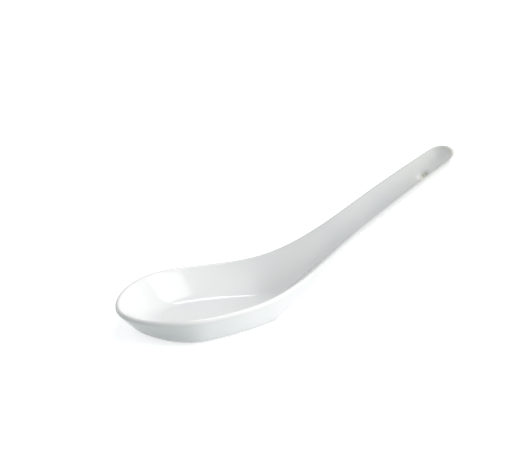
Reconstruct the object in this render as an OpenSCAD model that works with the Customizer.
// A chinese soup spoon of glazed porcelain, standing on its flat unglazed foot.
// X runs from the bowl's tip to the handle's tip, Z is up, and the origin is the middle of the foot.
// Both faces are carried by ribs that cross the rim at right angles: a fan round the bowl's tip, a row
// across the bowl and the handle, and a small fan round the handle's tip. Each rib is one section from
// the inner floor, up the wall, over the rounded rim and down the outer wall to the underside.

/* [Whole spoon] */
// Length over the glaze, from the bowl's tip to the handle's tip
overall_length = 135; // [116:0.5:160]
// Height of the rim at the handle's tip above the foot
overall_height = 51.4; // [44:0.1:60]
// Thickness of the glaze, which covers all but the foot
glaze_thickness = 0.25; // [0.15:0.05:0.4]
// Thickness of the rounded rim without its glaze
rim_thickness = 1.6; // [1.3:0.1:2.2]

/* [Bowl] */
// Width of the bowl between the middles of its rims
bowl_width = 42.6; // [37:0.1:49]
// Distance from the bowl's tip to its widest place
widest_from_tip = 26.3; // [22:0.1:32]
// Share of its width that the bowl's front gives up towards its tip, against half an ellipse
front_taper = 0.1; // [0:0.01:0.15]
// Height of the rim above the foot beside the widest place
bowl_height = 12.4; // [11:0.1:16]
// How much lower the rim is at the bowl's tip
tip_drop = 1.9; // [0:0.1:4]
// Thickness of the floor
floor_thickness = 3; // [2.2:0.1:3.8]
// Distance from the rim to the edge of the inner floor, at the sides
floor_inset_side = 11; // [9:0.1:13]
// Distance from the rim to the edge of the inner floor, at the bowl's tip
floor_inset_front = 11.4; // [9:0.1:14]
// Distance from the rim to the corner of the foot, before its fillet, at the sides
foot_inset_side = 2.3; // [1.8:0.1:5]
// Distance from the rim to the corner of the foot, before its fillet, at the bowl's tip
foot_inset_front = 7.8; // [6.5:0.1:11]
// Height above the foot at which the glaze is wiped off
bare_foot_height = 0.5; // [0.45:0.05:0.8]

/* [Neck] */
// Distance from the bowl's tip to where the bowl's flanks end in the handle
neck_from_tip = 100; // [94:0.5:106]
// Distance from the bowl's tip to where the handle's line would start out of the foot's level
rise_from_tip = 46.4; // [43:0.1:51]
// Length over which the rim swings from level to the handle's rise
rim_sweep = 17; // [12:0.5:24]
// Length over which the inner floor swings up into the handle
floor_sweep = 4; // [2.5:0.5:8]
// Length over which the foot swings up into the handle's underside
underside_sweep = 0.5; // [0.5:0.5:6]
// How far the floor's end at the neck is bowed, stated at half the bowl's width from the middle
floor_end_bow = 2; // [0:1:12]
// How far the foot's end at the neck is bowed, stated at half the bowl's width from the middle
foot_end_bow = 7; // [0:1:12]
// How strongly the bowl's flanks draw in to the neck
flank_power = 2.6; // [1.9:0.1:3.1]
// Distance from the bowl's tip to the joint between the bowl and the handle
joint_from_tip = 82; // [76:0.5:88]

/* [Handle] */
// Width of the handle at the neck, between the middles of its rims
handle_width_neck = 15.8; // [13:0.1:18]
// Width of the handle near its tip, between the middles of its rims
handle_width_tip = 13; // [11:0.1:15]
// Length of the rounded tip, between the middles of its rims
tip_rounding = 4.8; // [4:0.1:6]
// How far the handle's line bends down over its last 60 mm
handle_bend = 4.2; // [2.5:0.1:6.5]
// Depth of the channel at the neck, measured straight down
channel_depth_neck = 5.8; // [4.5:0.1:6.5]
// Depth of the channel near the tip, measured straight down
channel_depth_tip = 2.6; // [2:0.1:3.4]
// Thickness of the handle under its channel, measured straight down
handle_thickness = 2.4; // [2.1:0.1:3.2]
// Length over which the channel's floor curls up at the tip
channel_end_length = 11; // [9:0.5:14]

/* [Hanging hole] */
// Diameter of the hole through the handle
hole_diameter = 2.6; // [2:0.1:3.4]
// Distance from the handle's tip to the hole, measured along X
hole_from_tip = 12.2; // [10.5:0.1:15]
// Width and depth of the dished mouth of the hole, which slopes at 45 degrees
hole_mouth = 0.9; // [0.4:0.1:1.1]
// Gap between the hole's wall and the edge of the glaze
hole_glaze_gap = 0.3; // [0.2:0.05:0.5]

/* [Smoothness] */
// Number of ribs round the bowl's tip, to one side
front_ribs = 13; // [8:1:16]
// Number of ribs along one side between the two fans
side_ribs = 29; // [22:1:34]
// Number of ribs round the handle's tip, to one side
tip_ribs = 6; // [4:1:8]

/* [Hidden] */
// Shares of the way from the root to the section's corner where its fillet starts, and of the way up
// the wall where it ends: in the handle, at the bowl's sides and at the bowl's tip
inner_start_shares = [0.05, 0.85, 0.7];
inner_end_shares = [0.8, 0.2, 0.4];
outer_start_shares = [0.06, 0.4, 0.4];
outer_end_shares = [0.88, 0.4, 0.4];
// Share of the way from the root to the rim where the handle's sections have their corner
handle_corner_share = 0.37;
// Least such share in the bowl, for where the neck is narrower than the insets, and the length over
// which the sections change to it
least_corner_share = 0.14;
corner_blend = 3;
// Shares of the way to the neck where the bowl's section starts and ends its change to the handle's
section_change_shares = [0.72, 0.92];
// Shares of the channel's depth and of the handle's whole depth that are lost at the tip
channel_end_share = 0.8;
handle_end_share = 0.25;

// Lengths that the curves for the handle's bend and for its taper's soft start are stated over
bend_span = 60;
taper_start = 12;

// Steps of a section: its flat, its fillet, its wall and the rim's roll, which takes an even number
flat_steps = 4;
fillet_steps = 5;
wall_steps = 3;
roll_steps = 6;
face_points = flat_steps + fillet_steps + wall_steps;
section_points = 2 * face_points + roll_steps - 1;
hole_facets = 48;

rim_radius = rim_thickness / 2;
half_bowl = bowl_width / 2;
half_neck = handle_width_neck / 2;
half_tip = handle_width_tip / 2;

// Places along X, counted from the glaze's outermost point at the bowl's tip
front_x = glaze_thickness + rim_radius;
end_x = overall_length - front_x;
fan_x = widest_from_tip;
tip_x = end_x - tip_rounding;
hole_x = overall_length - hole_from_tip;

// Heights of the rim without its glaze
bowl_rim = bowl_height - glaze_thickness;
tip_rim = overall_height - glaze_thickness;

// The handle's line falls from the tip by a straight part and by a square part
bend_rate = handle_bend / pow(bend_span, 2);
slope = tip_rim / (end_x - rise_from_tip) - bend_rate * (end_x - rise_from_tip);

// The foot's ends and its middle, where the origin is
foot_front = fan_x - outer_start_shares[2] * (fan_x - front_x - foot_inset_front);
foot_drop = tip_rim + underside_sweep - channel_depth_neck - handle_thickness;
foot_back = end_x - (sqrt(slope * slope + 4 * bend_rate * foot_drop) - slope) / (2 * bend_rate);
foot_middle = (foot_front + foot_back) / 2;

// The larger of two heights, with a rounded change from one to the other
function soft_max(a, b, span) = max(a, b) + pow(max(span - abs(a - b), 0), 3) / (6 * span * span);
function limit(a) = min(max(a, 0), 1);
function ease(a) = limit(a) * limit(a) * (3 - 2 * limit(a));
function mix(a, b, part) = a + (b - a) * part;

// Half of the width between the middles of the rims
function half_width(x) =
    let(
        u = limit((x - fan_x) / (neck_from_tip - fan_x)),
        run = soft_max(0, x - neck_from_tip, taper_start) / (tip_x - neck_from_tip)
    )
    mix(half_neck, half_tip, run) + (half_bowl - half_neck) * pow(1 - u * u, flank_power);

// Heights of the handle's line, of the rim, of the inner floor and of the underside
function line_height(x) = tip_rim - slope * (end_x - x) - bend_rate * pow(end_x - x, 2);
function rim_height(x) =
    soft_max(bowl_rim - tip_drop * pow(max(fan_x - x, 0) / fan_x, 2), line_height(x), rim_sweep);
function curl(x) = max(x - end_x + channel_end_length, 0) / channel_end_length;
function channel_depth(x) =
    mix(channel_depth_neck, channel_depth_tip,
        limit((x - neck_from_tip) / (overall_length - neck_from_tip)));
function floor_height(x) =
    soft_max(floor_thickness,
        line_height(x) - channel_depth(x) * (1 - channel_end_share * pow(curl(x), 2)), floor_sweep);
function keel_height(x) =
    soft_max(0,
        line_height(x) - (channel_depth(x) + handle_thickness) * (1 - handle_end_share * pow(curl(x), 2)),
        underside_sweep);

// Ribs on the far side as [x of the root, x of the rim, y of the rim]. One of them lies in the joint.
bowl_side_ribs = round(side_ribs * (joint_from_tip - fan_x) / (tip_x - fan_x));
joint_rib = front_ribs + bowl_side_ribs;
last_rib = front_ribs + side_ribs + tip_ribs;
function side_x(k) =
    k <= bowl_side_ribs
        ? mix(fan_x, joint_from_tip, k / bowl_side_ribs)
        : mix(joint_from_tip, tip_x, (k - bowl_side_ribs) / (side_ribs - bowl_side_ribs));
function front_rib(angle) =
    let(taper = 1 - front_taper * pow(cos(angle), 2))
    [fan_x, mix(fan_x, front_x, cos(angle)), taper * half_width(fan_x) * sin(angle)];
function tip_rib(angle) =
    [tip_x, mix(tip_x, end_x, sin(angle)), half_width(tip_x) * cos(angle)];
ribs = concat(
    [for (k = [0:front_ribs]) front_rib(90 * k / front_ribs)],
    [for (k = [1:side_ribs]) [side_x(k), side_x(k), half_width(side_x(k))]],
    [for (k = [1:tip_ribs]) tip_rib(90 * k / tip_ribs)]
);

// 1 where the section is the bowl's, 0 where it is the handle's
function bowl_part(x) =
    let(p = x / neck_from_tip, s = section_change_shares)
    1 - ease((p - s[0]) / (s[1] - s[0]));

// Height of the floor or of the underside at a distance from the root, with the bowed ends at the neck
function face_height(x, d, inner) =
    let(bow = bowl_part(x) * pow(d / half_bowl, 2))
    inner ? floor_height(x + floor_end_bow * bow) : keel_height(x + foot_end_bow * bow);

// Distance from a rib's root to the corner between its floor and its wall
function corner_reach(reach, along, x, inner) =
    let(
        side = inner ? floor_inset_side : foot_inset_side,
        front = inner ? floor_inset_front : foot_inset_front,
        inset = mix(side, front, pow(max(-along, 0), 2)),
        bowl_corner = soft_max(least_corner_share * reach, reach - inset, corner_blend)
    )
    mix(handle_corner_share * reach, bowl_corner, bowl_part(x));

// One face of a rib as [distance from the root, height], from beside the root up to the rim's roll
function face_section(rib, inner) =
    let(
        reach = norm([rib[1] - rib[0], rib[2]]),
        along = (rib[1] - rib[0]) / reach,
        part = bowl_part(rib[1]),
        ahead = pow(max(-along, 0), 2),
        starts = inner ? inner_start_shares : outer_start_shares,
        ends = inner ? inner_end_shares : outer_end_shares,
        start = mix(starts[0], mix(starts[1], starts[2], ahead), part),
        end = mix(ends[0], mix(ends[1], ends[2], ahead), part),
        corner = corner_reach(reach, along, rib[1], inner),
        rise = rim_height(rib[1]) - rim_radius - face_height(rib[0] + along * corner, corner, inner),
        hand = inner ? -1 : 1,
        lean = atan2(reach - corner, rise) + hand * asin(rim_radius / norm([reach - corner, rise])),
        top_reach = reach + hand * rim_radius * cos(lean),
        top = rim_height(rib[1]) - rim_radius - hand * rim_radius * sin(lean),
        climb = top - face_height(rib[0] + along * top_reach, top_reach, inner),
        out = top_reach - corner,
        flat = [for (k = [1:flat_steps - 1]) [corner * start * k / flat_steps, 0]],
        fillet = [for (k = [0:fillet_steps])
            let(t = k / fillet_steps)
            [corner + (1 - t) * (1 - t) * (start - 1) * corner + t * t * end * out, t * t * end]],
        wall = [for (k = [1:wall_steps])
            let(t = mix(end, 1, k / wall_steps))
            [corner + t * out, t]]
    )
    [for (p = concat(flat, fillet, wall))
        [p[0], face_height(rib[0] + along * p[0], p[0], inner) + p[1] * climb]];

// A whole rib in space, from the inner floor over the rim to the underside
function rib_points(rib) =
    let(
        reach = norm([rib[1] - rib[0], rib[2]]),
        up = face_section(rib, true),
        down = face_section(rib, false),
        last = face_points - 1,
        centre = [reach, rim_height(rib[1]) - rim_radius],
        a = atan2(up[last][1] - centre[1], up[last][0] - centre[0]),
        b = atan2(down[last][1] - centre[1], down[last][0] - centre[0]),
        roll = [for (k = [1:roll_steps - 1])
            let(turn = mix(a < -90 ? a + 360 : a, b, k / roll_steps))
            centre + rim_radius * [cos(turn), sin(turn)]],
        section = concat(up, roll, [for (k = [last:-1:0]) down[k]])
    )
    [for (p = section)
        [mix(rib[0], rib[1], p[0] / reach), rib[2] * p[0] / reach, p[1]]];
grid = [for (r = ribs) rib_points(r)];

// A point of the spoon's fired clay: rib k, counted negative on the near side, and step j, where the
// root on the floor is step -1 and the root on the underside is the last step
function clay(k, j) =
    let(
        x = ribs[abs(k)][0],
        p = j < 0 ? [x, 0, floor_height(x)]
            : j == section_points ? [x, 0, keel_height(x)]
            : grid[abs(k)][j]
    )
    k < 0 ? [p[0], -p[1], p[2]] : p;

// The same point on the glaze's face, moved out at right angles to the clay
function next_rib(k) = k == last_rib ? 1 - last_rib : k + 1;
function previous_rib(k) = k == 1 - last_rib ? last_rib : k - 1;
function away(k, j) =
    j < 0 || j == section_points
        ? let(
            x = ribs[abs(k)][0],
            inner = j < 0,
            lean = face_height(x + rim_radius, 0, inner) - face_height(x - rim_radius, 0, inner)
        )
        (inner ? 1 : -1) * [-lean, 0, 2 * rim_radius]
        : cross(clay(next_rib(k), j) - clay(previous_rib(k), j), clay(k, j + 1) - clay(k, j - 1));
function glazed(k, j) =
    let(n = away(k, j))
    clay(k, j) + glaze_thickness * n / norm(n);

// Closed skin over the ribs in the list. A list that doesn't go all round ends in two flat faces.
function root_number(k) = min(max(abs(k) - front_ribs, 0), side_ribs);
function ring(list, i, count) =
    let(
        m = section_points,
        first = min([for (k = list) root_number(k)]),
        r = root_number(list[i]) - first
    )
    concat([len(list) * m + r], [for (j = [0:m - 1]) i * m + j], [len(list) * m + count + r]);
function band(a, b) =
    [for (j = [0:len(a) - 2])
        each [
            if (a[j] != b[j]) [a[j], b[j + 1], b[j]],
            if (a[j + 1] != b[j + 1]) [a[j], a[j + 1], b[j + 1]]
        ]];
function end_face(c) =
    let(h = floor(len(c) / 2), last = len(c) - 1)
    [for (j = [0:h - 1])
        each [
            [c[j], c[j + 1], c[last - j]],
            if (j < h - 1) [c[j + 1], c[last - j - 1], c[last - j]]
        ]];
function backwards(list) = [for (i = [len(list) - 1:-1:0]) list[i]];

module skin(list, all_round = false, with_glaze = false) {
    numbers = [for (k = list) root_number(k)];
    first = min(numbers);
    count = max(numbers) - first + 1;
    root_ribs = [for (r = [first:first + count - 1]) r + front_ribs];
    places = concat(
        [for (k = list, j = [0:section_points - 1]) [k, j]],
        [for (k = root_ribs) [k, -1]],
        [for (k = root_ribs) [k, section_points]]
    );
    points = [for (p = places) with_glaze ? glazed(p[0], p[1]) : clay(p[0], p[1])];
    rings = [for (i = [0:len(list) - 1]) ring(list, i, count)];
    last = len(list) - 1;
    faces = concat(
        [for (i = [0:last - 1]) each band(rings[i], rings[i + 1])],
        all_round ? band(rings[last], rings[0])
            : concat(end_face(rings[last]), end_face(backwards(rings[0])))
    );
    polyhedron(points, faces);
}

// A round cut at right angles to the channel's floor, from a height to another, with a radius at each
hole_rise = floor_height(hole_x + rim_radius) - floor_height(hole_x - rim_radius);
module round_cut(low, high, low_radius, high_radius) {
    translate([hole_x, 0, floor_height(hole_x)])
        rotate([0, -atan2(hole_rise, 2 * rim_radius), 0])
            translate([0, 0, low])
                cylinder(h = high - low, r1 = low_radius, r2 = high_radius, $fn = hole_facets);
}

// The hole, and its dished mouth. The glaze lines the mouth at its even thickness and stops there.
hole_radius = hole_diameter / 2;
mouth_lining = glaze_thickness * norm([1, 1]);
module hole(gap) {
    round_cut(-2 * handle_thickness, 2 * handle_thickness, hole_radius + gap, hole_radius + gap);
}
module mouth(lining) {
    round_cut(lining - hole_mouth, lining + 2 * hole_mouth, hole_radius, hole_radius + 3 * hole_mouth);
}

module bowl() {
    color([0.93, 0.92, 0.89])
        translate([-foot_middle, 0, 0])
            skin([for (k = [-joint_rib:joint_rib]) k]);
}

module handle() {
    color([0.93, 0.92, 0.89])
        translate([-foot_middle, 0, 0])
            difference() {
                skin(concat([for (k = [joint_rib:last_rib]) k],
                    [for (k = [last_rib - 1:-1:joint_rib]) -k]));
                hole(0);
                mouth(0);
            }
}

all_ribs = concat([for (k = [0:last_rib]) k], [for (k = [last_rib - 1:-1:1]) -k]);

module glaze() {
    color([0.96, 0.97, 0.98])
        translate([-foot_middle, 0, 0])
            difference() {
                skin(all_ribs, all_round = true, with_glaze = true);
                difference() {
                    skin(all_ribs, all_round = true);
                    mouth(0);
                }
                translate([-overall_length, -bowl_width, bare_foot_height - overall_height])
                    cube([3 * overall_length, 2 * bowl_width, overall_height]);
                hole(hole_glaze_gap);
                mouth(mouth_lining);
            }
}

bowl();
handle();
glaze();
